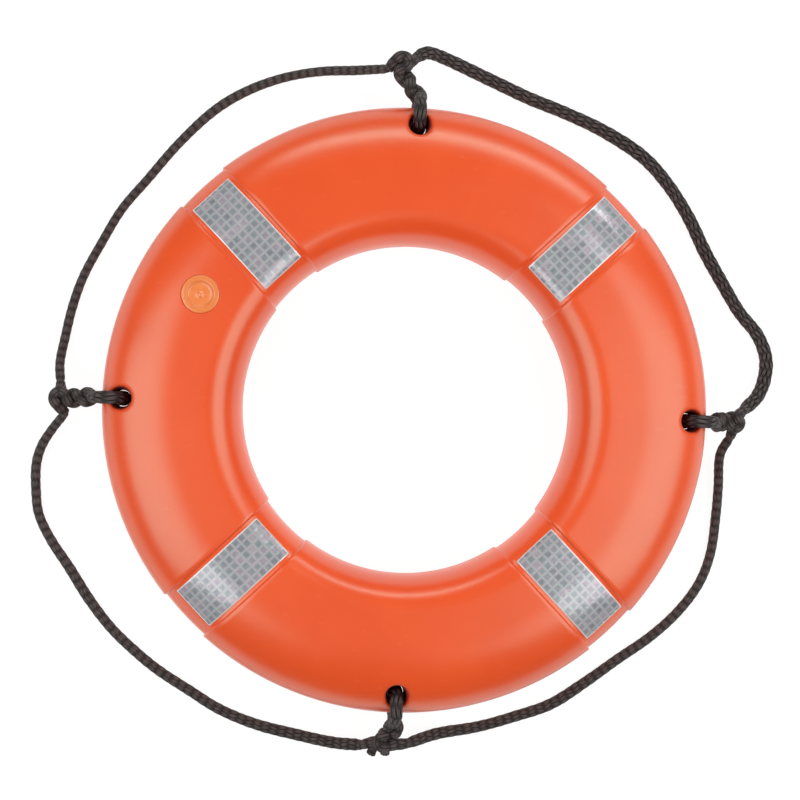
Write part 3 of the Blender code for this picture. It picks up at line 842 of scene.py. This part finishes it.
def makeMouldGroup():
    # surface marks of the moulded plastic: a fine orange-peel height, and a worn, scuffed mask
    group = bpy.data.node_groups.new("mouldedSurface", "ShaderNodeTree")
    for name, value in (("Peel Scale", 900.0), ("Scuff Scale", 60.0)):
        group.interface.new_socket(name, in_out="INPUT", socket_type="NodeSocketFloat").default_value = value
    for name in ("Height", "Scuffs", "Blotches"):
        group.interface.new_socket(name, in_out="OUTPUT", socket_type="NodeSocketFloat")
    given = addNode(group, "NodeGroupInput", -900, 0)
    result = addNode(group, "NodeGroupOutput", 500, 0)
    place = addNode(group, "ShaderNodeTexCoord", -900, -250)
    link = group.links.new
    peel = addNode(group, "ShaderNodeTexNoise", -500, 200)
    peel.inputs["Detail"].default_value = 2.0
    link(place.outputs["Object"], peel.inputs["Vector"])
    link(given.outputs["Peel Scale"], peel.inputs["Scale"])
    link(peel.outputs["Fac"], result.inputs["Height"])
    stretch = addNode(group, "ShaderNodeMapping", -700, -150)
    stretch.inputs["Scale"].default_value = (1.0, 3.2, 1.0)
    stretch.inputs["Rotation"].default_value = (0.0, 0.0, 0.7)
    link(place.outputs["Object"], stretch.inputs["Vector"])
    scuff = addNode(group, "ShaderNodeTexNoise", -500, -150)
    scuff.inputs["Detail"].default_value = 9.0
    scuff.inputs["Roughness"].default_value = 0.7
    link(stretch.outputs[0], scuff.inputs["Vector"])
    link(given.outputs["Scuff Scale"], scuff.inputs["Scale"])
    mask = addNode(group, "ShaderNodeMapRange", -200, -150)
    mask.inputs["From Min"].default_value = 0.60
    mask.inputs["From Max"].default_value = 0.74
    link(scuff.outputs["Fac"], mask.inputs["Value"])
    link(mask.outputs[0], result.inputs["Scuffs"])
    blotch = addNode(group, "ShaderNodeTexNoise", -500, -450)
    blotch.inputs["Scale"].default_value = 11.0
    blotch.inputs["Detail"].default_value = 4.0
    link(place.outputs["Object"], blotch.inputs["Vector"])
    link(blotch.outputs["Fac"], result.inputs["Blotches"])
    return group


def makeShellMaterial():
    material, tree, shader = newMaterial("orangeShell")
    link = tree.links.new
    marks = addNode(tree, "ShaderNodeGroup", -700, 0, node_tree=makeMouldGroup())
    tint = addNode(tree, "ShaderNodeValToRGB", -400, 200)
    tint.color_ramp.elements[0].position = 0.30
    tint.color_ramp.elements[0].color = shellColours["deep"]
    tint.color_ramp.elements[1].position = 0.70
    tint.color_ramp.elements[1].color = shellColours["bright"]
    link(marks.outputs["Blotches"], tint.inputs["Fac"])
    pale = addNode(tree, "ShaderNodeMix", -150, 200, data_type="RGBA")
    pale.inputs["B"].default_value = shellColours["scuffed"]
    amount = addNode(tree, "ShaderNodeMath", -400, -50, operation="MULTIPLY")
    amount.inputs[1].default_value = 0.22
    link(marks.outputs["Scuffs"], amount.inputs[0])
    link(amount.outputs[0], pale.inputs["Factor"])
    link(tint.outputs["Color"], pale.inputs["A"])
    bore = addNode(tree, "ShaderNodeAttribute", -400, 450, attribute_name="bore")
    # painted shade: the hole walls and lips take the dark bore colour in place of their shadow
    boreShade = addNode(tree, "ShaderNodeMix", 30, 250, data_type="RGBA")
    boreShade.inputs["B"].default_value = shellColours["bore"]
    link(bore.outputs["Fac"], boreShade.inputs["Factor"])
    link(pale.outputs["Result"], boreShade.inputs["A"])
    link(boreShade.outputs["Result"], shader.inputs["Base Color"])
    rough = addNode(tree, "ShaderNodeMapRange", -400, -250)
    rough.inputs["To Min"].default_value = 0.30
    rough.inputs["To Max"].default_value = 0.44
    link(marks.outputs["Scuffs"], rough.inputs["Value"])
    matt = addNode(tree, "ShaderNodeMix", -150, -150, data_type="FLOAT")
    matt.inputs["B"].default_value = 0.95
    link(bore.outputs["Fac"], matt.inputs["Factor"])
    link(rough.outputs[0], matt.inputs["A"])
    link(matt.outputs["Result"], shader.inputs["Roughness"])
    shader.inputs["Specular IOR Level"].default_value = 1.0
    shader.inputs["Specular Tint"].default_value = shellColours["gleam"]
    bump = addNode(tree, "ShaderNodeBump", -150, -350)
    bump.inputs["Strength"].default_value = 0.25
    bump.inputs["Distance"].default_value = 0.0002
    link(marks.outputs["Height"], bump.inputs["Height"])
    link(bump.outputs["Normal"], shader.inputs["Normal"])
    return material


makeShell()
print("shell moulded")


tape = {
    "width": 0.0475,
    "inner": 0.183,
    "outer": 0.2895,
    "cell": 0.0078,
    "lattice": 0.0016,  # width of the sealed lines between the cells
    "border": 0.0010,
    "thickness": 0.00045,
    "glue": 0.0003,  # how deep the glued side lies in the band floor
    "probe": 0.0001,  # distance over which the floor's slope is measured
    "pillow": 0.00012,
    "borderRise": 0.4,  # shares of the pillow's height: the border, the sealed lines and the cells
    "sealRise": 0.7,
    "cellRise": 0.8,
    "cutWidth": 0.0003,  # the cut edge and how far it falls
    "cutDrop": 0.00012,
    "step": 0.00078,
    "hues": [
        (0.250, 0.254, 0.278, 1), (0.295, 0.298, 0.345, 1), (0.275, 0.350, 0.345, 1),
        (0.355, 0.358, 0.385, 1), (0.425, 0.345, 0.422, 1), (0.480, 0.445, 0.470, 1),
    ],
    "seal": (0.560, 0.560, 0.570, 1),
    "rim": (0.800, 0.780, 0.760, 1),
}


def bandLine(first, last, spacing):
    # evenly spaced steps along the band floor: their distances from the axis and the length up to each
    dense = np.linspace(first, last, 2000)
    heights = np.array([floorHeight(distance) for distance in dense])
    lengths = np.r_[0, np.cumsum(np.hypot(np.diff(dense), np.diff(heights)))]
    wanted = np.linspace(0, lengths[-1], round(lengths[-1] / spacing) + 1)
    return np.interp(wanted, lengths, dense), wanted


def floorHeight(distance):
    return upperHeight(distance, shell["bandDepth"])


def tapeRelief(across, along, total):
    # height of the tape's face: pillowed cells between sealed lines, inside a flat border
    margin = min(tape["width"] / 2 - abs(across), along, total - along)
    if margin < tape["border"]:
        return tape["borderRise"] * tape["pillow"] if margin > tape["cutWidth"] else -tape["cutDrop"]
    u = abs((across / tape["cell"]) % 1.0 - 0.5) * 2
    v = abs(((along - total / 2) / tape["cell"]) % 1.0 - 0.5) * 2
    sealed = 1 - tape["lattice"] / tape["cell"]
    nearness = max(u, v)
    if nearness > sealed:
        return tape["sealRise"] * tape["pillow"]
    return tape["pillow"] * (1 - (nearness / sealed) ** 4) * tape["cellRise"]


def makeTape(name, angle, upper, material):
    # straight rows across the band, each point lifted off the band floor along its own normal
    distances, lengths = bandLine(tape["inner"], tape["outer"], tape["step"])
    total = lengths[-1]
    count = round(tape["width"] / tape["step"])
    offsets = np.linspace(-tape["width"] / 2, tape["width"] / 2, count + 1)
    turn = math.radians(angle)
    cosine, sine = math.cos(turn), math.sin(turn)
    side = 1 if upper else -1
    points = []
    sheet = []

    def addPoint(middle, across, lift):
        distance = math.hypot(middle, across)
        height = floorHeight(distance)
        probe = tape["probe"]
        slope = (floorHeight(distance + probe) - floorHeight(distance - probe)) / (2 * probe)
        rise = lift / math.sqrt(1 + slope**2)
        share = 1 - slope * rise / distance
        x, y = middle * share, across * share
        z = shell["thickness"] / 2 + side * (height + rise)
        points.append((x * cosine - y * sine, x * sine + y * cosine, z))

    for middle, along in zip(distances, lengths):
        for across in offsets:
            addPoint(middle, across, tape["thickness"] + tapeRelief(across, along, total))
            sheet.append((across, along))
    under = len(points)  # the first point of the glued side
    for middle, along in zip(distances, lengths):
        for across in offsets:
            addPoint(middle, across, -tape["glue"])
            sheet.append((across, along))
    width = len(offsets)
    rows = len(distances)
    faces = []
    for row in range(rows - 1):
        for i in range(width - 1):
            a = row * width + i
            faces.append((a, a + 1, a + width + 1, a + width))
            faces.append((under + a, under + a + width, under + a + width + 1, under + a + 1))
        for a in (row * width, row * width + width - 1):
            faces.append((a, a + width, under + a + width, under + a))
    for i in range(width - 1):
        for a in (i, (rows - 1) * width + i):
            faces.append((a, a + 1, under + a + 1, under + a))
    mesh = meshFrom(name, points, faces)
    faceOutwards(mesh)
    edges = []
    for across, along in sheet:
        margin = min(tape["width"] / 2 - abs(across), along, total - along)
        edges.append(1.0 if margin < tape["border"] else 0.0)
    mesh.attributes.new("border", "FLOAT", "POINT").data.foreach_set("value", edges)
    layer = mesh.uv_layers.new(name="sheet")
    corners = np.empty(len(mesh.loops), np.int32)
    mesh.loops.foreach_get("vertex_index", corners)
    shift = (tape["cell"] * angle, tape["cell"] / 2 - total / 2)
    layer.data.foreach_set("uv", (np.array(sheet)[corners] + shift).ravel())
    piece = addObject(name, mesh)
    piece.data.materials.append(material)
    return piece


def makeCellGroup():
    # a grid of square cells: how near a point is to a cell's edge, and a random value for each cell
    group = bpy.data.node_groups.new("tapeCells", "ShaderNodeTree")
    group.interface.new_socket("Sheet", in_out="INPUT", socket_type="NodeSocketVector")
    for name, value in (("Cells Per Metre", 1 / tape["cell"]), ("Seal", 0.30), ("Softness", 0.32)):
        group.interface.new_socket(name, in_out="INPUT", socket_type="NodeSocketFloat").default_value = value
    group.interface.new_socket("Lattice", in_out="OUTPUT", socket_type="NodeSocketFloat")
    group.interface.new_socket("Cell Colour", in_out="OUTPUT", socket_type="NodeSocketColor")
    group.interface.new_socket("Glints", in_out="OUTPUT", socket_type="NodeSocketColor")
    link = group.links.new
    given = addNode(group, "NodeGroupInput", -1200, 0)
    result = addNode(group, "NodeGroupOutput", 700, 0)
    scaled = addNode(group, "ShaderNodeVectorMath", -1000, 0, operation="SCALE")
    link(given.outputs["Sheet"], scaled.inputs[0])
    link(given.outputs["Cells Per Metre"], scaled.inputs["Scale"])
    cell = addNode(group, "ShaderNodeVectorMath", -800, -200, operation="FLOOR")
    link(scaled.outputs[0], cell.inputs[0])
    chance = addNode(group, "ShaderNodeTexWhiteNoise", -600, -200)
    link(cell.outputs[0], chance.inputs["Vector"])
    link(chance.outputs["Color"], result.inputs["Cell Colour"])
    within = addNode(group, "ShaderNodeVectorMath", -800, 100, operation="FRACTION")
    link(scaled.outputs[0], within.inputs[0])
    centred = addNode(group, "ShaderNodeVectorMath", -600, 100, operation="SUBTRACT")
    centred.inputs[1].default_value = (0.5, 0.5, 0.0)
    link(within.outputs[0], centred.inputs[0])
    size = addNode(group, "ShaderNodeVectorMath", -400, 100, operation="ABSOLUTE")
    link(centred.outputs[0], size.inputs[0])
    split = addNode(group, "ShaderNodeSeparateXYZ", -200, 100)
    link(size.outputs[0], split.inputs[0])
    nearest = addNode(group, "ShaderNodeMath", 0, 100, operation="MAXIMUM")
    link(split.outputs["X"], nearest.inputs[0])
    link(split.outputs["Y"], nearest.inputs[1])
    inner = addNode(group, "ShaderNodeMath", 0, -100, operation="SUBTRACT")
    inner.inputs[0].default_value = 0.5
    link(given.outputs["Seal"], inner.inputs[1])
    outer = addNode(group, "ShaderNodeMath", 200, -100, operation="ADD")
    link(inner.outputs[0], outer.inputs[0])
    link(given.outputs["Softness"], outer.inputs[1])
    lattice = addNode(group, "ShaderNodeMapRange", 400, 100, interpolation_type="SMOOTHSTEP")
    link(nearest.outputs[0], lattice.inputs["Value"])
    link(inner.outputs[0], lattice.inputs["From Min"])
    link(outer.outputs[0], lattice.inputs["From Max"])
    link(lattice.outputs[0], result.inputs["Lattice"])
    prisms = addNode(group, "ShaderNodeTexVoronoi", -600, -450)
    prisms.inputs["Scale"].default_value = 3.2
    link(scaled.outputs[0], prisms.inputs["Vector"])
    link(prisms.outputs["Color"], result.inputs["Glints"])
    return group


def makeTapeMaterial():
    material, tree, shader = newMaterial("prismTape")
    link = tree.links.new
    shader.inputs["Roughness"].default_value = 0.20
    shader.inputs["Metallic"].default_value = 0.16
    shader.inputs["Coat Weight"].default_value = 0.5
    shader.inputs["Coat Roughness"].default_value = 0.10
    sheet = addNode(tree, "ShaderNodeUVMap", -1500, 0, uv_map="sheet")
    cells = addNode(tree, "ShaderNodeGroup", -1200, 0, node_tree=makeCellGroup())
    link(sheet.outputs[0], cells.inputs["Sheet"])
    drift = addNode(tree, "ShaderNodeTexNoise", -1200, 300)
    drift.inputs["Scale"].default_value = 34.0
    drift.inputs["Detail"].default_value = 2.0
    link(sheet.outputs[0], drift.inputs["Vector"])
    mixed = addNode(tree, "ShaderNodeMix", -1000, 150, data_type="RGBA")
    mixed.inputs["Factor"].default_value = 0.40
    link(cells.outputs["Cell Colour"], mixed.inputs["A"])
    link(cells.outputs["Glints"], mixed.inputs["B"])
    shade = addNode(tree, "ShaderNodeSeparateColor", -820, 150)
    link(mixed.outputs["Result"], shade.inputs[0])
    wander = addNode(tree, "ShaderNodeMix", -640, 250, data_type="FLOAT")
    wander.inputs["Factor"].default_value = 0.45
    link(shade.outputs[0], wander.inputs["A"])
    link(drift.outputs["Fac"], wander.inputs["B"])
    hue = addNode(tree, "ShaderNodeValToRGB", -440, 250)
    ramp = hue.color_ramp
    ramp.elements[0].position = 0.24
    ramp.elements[0].color = tape["hues"][0]
    ramp.elements[1].position = 0.76
    ramp.elements[1].color = tape["hues"][-1]
    for position, colour in zip((0.38, 0.48, 0.56, 0.64), tape["hues"][1:-1]):
        ramp.elements.new(position).color = colour
    link(wander.outputs["Result"], hue.inputs["Fac"])
    seal = addNode(tree, "ShaderNodeMath", -640, -100, operation="MULTIPLY")
    seal.inputs[1].default_value = 0.72
    link(cells.outputs["Lattice"], seal.inputs[0])
    film = addNode(tree, "ShaderNodeMix", -150, 200, data_type="RGBA")
    film.inputs["B"].default_value = tape["seal"]
    link(seal.outputs[0], film.inputs["Factor"])
    link(hue.outputs["Color"], film.inputs["A"])
    edge = addNode(tree, "ShaderNodeAttribute", -400, -300, attribute_name="border")
    rim = addNode(tree, "ShaderNodeMix", 30, 100, data_type="RGBA")
    rim.inputs["B"].default_value = tape["rim"]
    link(edge.outputs["Fac"], rim.inputs["Factor"])
    link(film.outputs["Result"], rim.inputs["A"])
    link(rim.outputs["Result"], shader.inputs["Base Color"])
    bump = addNode(tree, "ShaderNodeBump", -150, -350)
    bump.inputs["Strength"].default_value = 0.2
    bump.inputs["Distance"].default_value = 0.0002
    link(shade.outputs[1], bump.inputs["Height"])
    link(bump.outputs["Normal"], shader.inputs["Normal"])
    return material


def makeTapes():
    material = makeTapeMaterial()
    for angle in tapeAngles:
        for upper in (True, False):
            node = ("tape_top_" if upper else "tape_base_") + str(angle)
            piece = makeTape(node + "Sheet", angle, upper, material)
            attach(piece, "ring")
            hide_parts(node)


makeTapes()
print("tape laid")


def makePlugMaterial():
    material, tree, shader = newMaterial("clearOrangePlug")
    shader.inputs["Roughness"].default_value = 0.22
    shader.inputs["Coat Weight"].default_value = 0.3
    grain = addNode(tree, "ShaderNodeTexNoise", -600, 0)
    grain.inputs["Scale"].default_value = 160.0
    place = addNode(tree, "ShaderNodeTexCoord", -800, 0)
    tree.links.new(place.outputs["Object"], grain.inputs["Vector"])
    tint = addNode(tree, "ShaderNodeValToRGB", -400, 0)
    tint.color_ramp.elements[0].color = (0.86, 0.215, 0.056, 1)
    tint.color_ramp.elements[1].color = (0.94, 0.300, 0.092, 1)
    tree.links.new(grain.outputs["Fac"], tint.inputs["Fac"])
    tree.links.new(tint.outputs["Color"], shader.inputs["Base Color"])
    return material


def makePlug():
    # a turned cap: (radius, height above the ring's face), from the middle out
    profile = [
        (0.0000, -0.0002), (0.0012, -0.0003), (0.0024, -0.0008), (0.0032, -0.0014), (0.0038, -0.0017),
        (0.0060, -0.0017), (0.0090, -0.0016), (0.0112, -0.0014), (0.0122, -0.0009), (0.0128, -0.0002),
        (0.0133, 0.0003), (0.0140, 0.0005), (0.0158, 0.0005), (0.0172, 0.0004), (0.0182, 0.0002),
        (0.0187, -0.0002), (0.0188, -0.0012), (0.0187, -0.0021), (0.0100, -0.0021),
    ]
    spot = math.radians(plug["angle"])
    cx, cy = plug["centre"] * math.cos(spot), plug["centre"] * math.sin(spot)
    around = plug["around"]
    points = [(cx, cy, shell["thickness"] + profile[0][1])]
    for radius, height in profile[1:]:
        for k in range(around):
            turn = 2 * math.pi * k / around
            x, y = cx + radius * math.cos(turn), cy + radius * math.sin(turn)
            points.append((x, y, shell["thickness"] + height))
    faces = [(0, 1 + k, 1 + (k + 1) % around) for k in range(around)]
    for row in range(len(profile) - 2):
        first = list(range(1 + row * around, 1 + (row + 1) * around))
        second = list(range(1 + (row + 1) * around, 1 + (row + 2) * around))
        joinRings(faces, first, second)
    faces.append(tuple(second))
    mesh = meshFrom("fillCap", points, faces)
    faceOutwards(mesh)
    piece = addObject("fillCap", mesh)
    piece.data.materials.append(makePlugMaterial())
    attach(piece, "ring")
    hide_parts("fill_plug")


def paintFoam():
    material, tree, shader = newMaterial("pouredFoam")
    shader.inputs["Roughness"].default_value = 0.95
    place = addNode(tree, "ShaderNodeTexCoord", -800, 0)
    bubbles = addNode(tree, "ShaderNodeTexVoronoi", -600, 0)
    bubbles.inputs["Scale"].default_value = 420.0
    tree.links.new(place.outputs["Object"], bubbles.inputs["Vector"])
    tint = addNode(tree, "ShaderNodeValToRGB", -400, 0)
    tint.color_ramp.elements[0].color = (0.62, 0.47, 0.24, 1)
    tint.color_ramp.elements[1].color = (0.86, 0.74, 0.48, 1)
    tree.links.new(bubbles.outputs["Distance"], tint.inputs["Fac"])
    tree.links.new(tint.outputs["Color"], shader.inputs["Base Color"])
    bump = addNode(tree, "ShaderNodeBump", -300, -300)
    bump.inputs["Distance"].default_value = 0.0005
    tree.links.new(bubbles.outputs["Distance"], bump.inputs["Height"])
    tree.links.new(bump.outputs["Normal"], shader.inputs["Normal"])
    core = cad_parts["foam_core"]
    core.data.materials.clear()
    core.data.materials.append(material)


makePlug()
paintFoam()
print("plug and foam done")


studio = {
    "floorHalf": 14.0,
    "floorTint": 0.12,
    "floorGlow": 0.93,
    "world": 0.11,
    "sideWatts": 14.1,
    "sideSize": 1.35,
    "leftPlace": (-1.0, -0.24, 1.20),
    "rightPlace": (1.0, -0.14, 1.20),
    "stripWatts": 10.8,
    "stripSize": (2.1, 0.30),
    "stripPlace": (0.25, 1.42, 0.95),
}


def addSoftbox(name, place, size, watts):
    box = bpy.data.lights.new(name, "AREA")
    box.shape = "RECTANGLE"
    box.size, box.size_y = size
    box.energy = watts
    lamp = addObject(name, box)
    lamp.location = place
    lamp.rotation_euler = Vector(place).to_track_quat("Z", "Y").to_euler()


def makeStudio():
    half = studio["floorHalf"]
    corners = [(-half, -half, 0), (half, -half, 0), (half, half, 0), (-half, half, 0)]
    floor = addObject("studioFloor", meshFrom("studioFloor", corners, [(0, 1, 2, 3)]))
    material, tree, shader = newMaterial("paleFloor")
    tint = studio["floorTint"]
    shader.inputs["Base Color"].default_value = (tint, tint, tint, 1)
    shader.inputs["Roughness"].default_value = 0.9
    shader.inputs["Emission Color"].default_value = (1, 1, 1, 1)
    shader.inputs["Emission Strength"].default_value = studio["floorGlow"]
    floor.data.materials.append(material)
    world = bpy.data.worlds.new("softWorld")
    world.use_nodes = True
    world.node_tree.nodes["Background"].inputs["Color"].default_value = (1, 1, 1, 1)
    world.node_tree.nodes["Background"].inputs["Strength"].default_value = studio["world"]
    bpy.context.scene.world = world
    side = studio["sideSize"]
    addSoftbox("leftBox", studio["leftPlace"], (side, side), studio["sideWatts"])
    addSoftbox("rightBox", studio["rightPlace"], (side, side), studio["sideWatts"])
    addSoftbox("backStrip", studio["stripPlace"], studio["stripSize"], studio["stripWatts"])
    bpy.context.scene.view_settings.view_transform = "Standard"


makeStudio()
print("studio ready")
